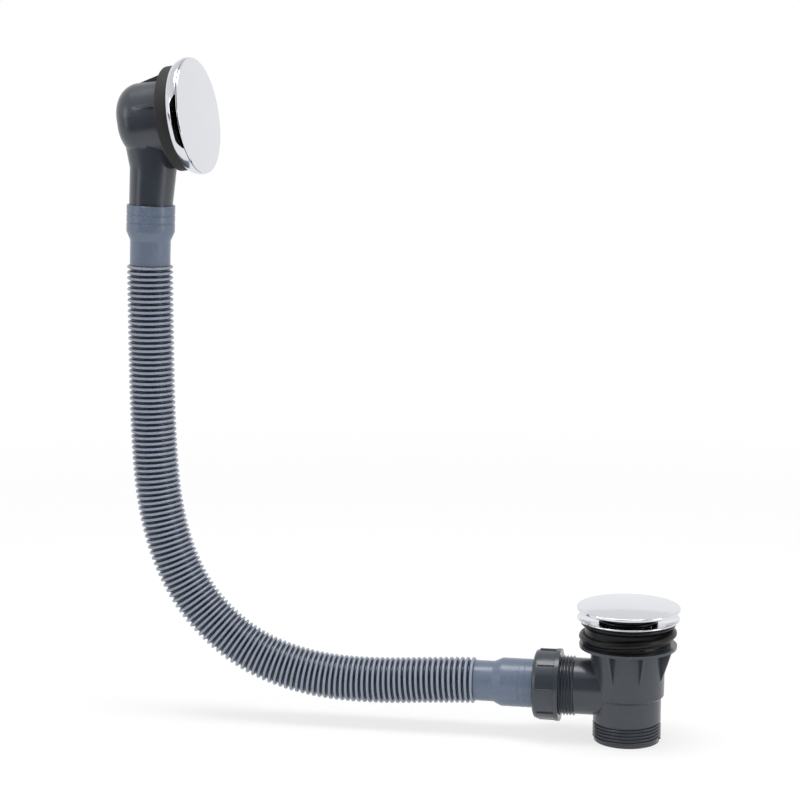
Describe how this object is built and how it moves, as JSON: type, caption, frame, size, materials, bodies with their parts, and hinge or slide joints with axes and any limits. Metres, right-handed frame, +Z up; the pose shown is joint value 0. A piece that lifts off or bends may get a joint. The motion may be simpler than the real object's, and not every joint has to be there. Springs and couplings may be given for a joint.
{
  "type": "bath waste and overflow",
  "caption": "Bath waste with a sprung chrome plug, joined by a ribbed flexible hose to a round chrome overflow head with side slots and a moulded elbow.",
  "frame": {"origin": "on the waste's axis, in the plane of the chrome flange's rim", "axes": "+Z up along the waste's axis; the hose leaves the waste towards -X and rises to the overflow head, whose face looks towards +X"},
  "size_m": [0.3973, 0.0805, 0.4726],
  "materials": {
    "body_plastic": "satin moulded",
    "hose_plastic": "soft satin",
    "mechanism_plastic": "satin",
    "chrome": "polished",
    "steel": "turned",
    "brass": "turned",
    "rubber": "matt",
    "foam": "matt closed cell"
  },
  "bodies": {
    "waste": {"waste_body": "body_plastic", "body_insert": "brass", "lower_washer": "rubber", "upper_seal": "rubber", "waste_flange": "chrome", "flange_screw": "steel", "cartridge_housing": "mechanism_plastic", "cartridge_spring": "steel", "inlet_nut": "body_plastic", "slip_ring": "mechanism_plastic", "nut_seal": "rubber", "overflow_hose": "hose_plastic", "overflow_elbow": "body_plastic", "elbow_insert": "brass", "overflow_gasket": "foam", "overflow_rosette": "chrome", "overflow_screw": "steel", "overflow_cover": "chrome", "cover_ring": "rubber"},
    "plug": {"cartridge_plunger": "mechanism_plastic", "cartridge_cam": "mechanism_plastic", "plug_carrier": "mechanism_plastic", "plug_seal": "rubber", "plug_nut": "brass", "plug_cap": "chrome"}
  },
  "joints": [
    {"name": "plug_lift", "type": "slide", "parent": "waste", "child": "plug", "axis": [0, 0, 1], "range_m": [-0.0055, 0], "stiffness_N_per_m": 800, "springref_m": 0.012, "deforming": ["cartridge_spring"]}
  ]
}
